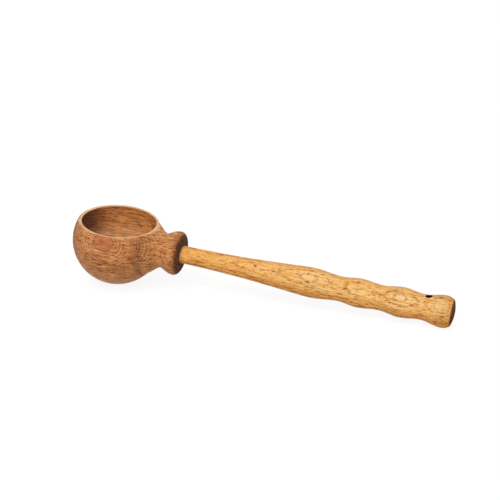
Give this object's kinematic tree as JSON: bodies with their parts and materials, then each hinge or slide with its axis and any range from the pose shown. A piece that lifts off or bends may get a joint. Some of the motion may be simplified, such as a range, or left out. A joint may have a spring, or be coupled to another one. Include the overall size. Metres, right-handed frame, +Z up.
{
  "type": "water ladle",
  "caption": "Turned wooden water ladle: a hollowed ball bowl with a waisted neck and collar, and a long swelling handle with a rounded butt and a hanging hole.",
  "frame": {"origin": "on the table below the middle of the ladle's whole length, in its middle plane", "axes": "+X along the table from the bowl to the butt, +Z up; the ladle lies on its ball and its butt, so the handle slopes down by 4.9 degrees towards +X and the rim faces almost straight up"},
  "size_m": [0.3622, 0.084, 0.0641],
  "materials": {
    "bowl_wood": "reddish brown oiled hardwood with short dark flecks",
    "handle_wood": "golden oiled hardwood with fine dark grain lines",
    "glue": "cured wood glue"
  },
  "bodies": {
    "root": {"bowl": "bowl_wood", "handle": "handle_wood", "glue_line": "glue"}
  },
  "joints": []
}
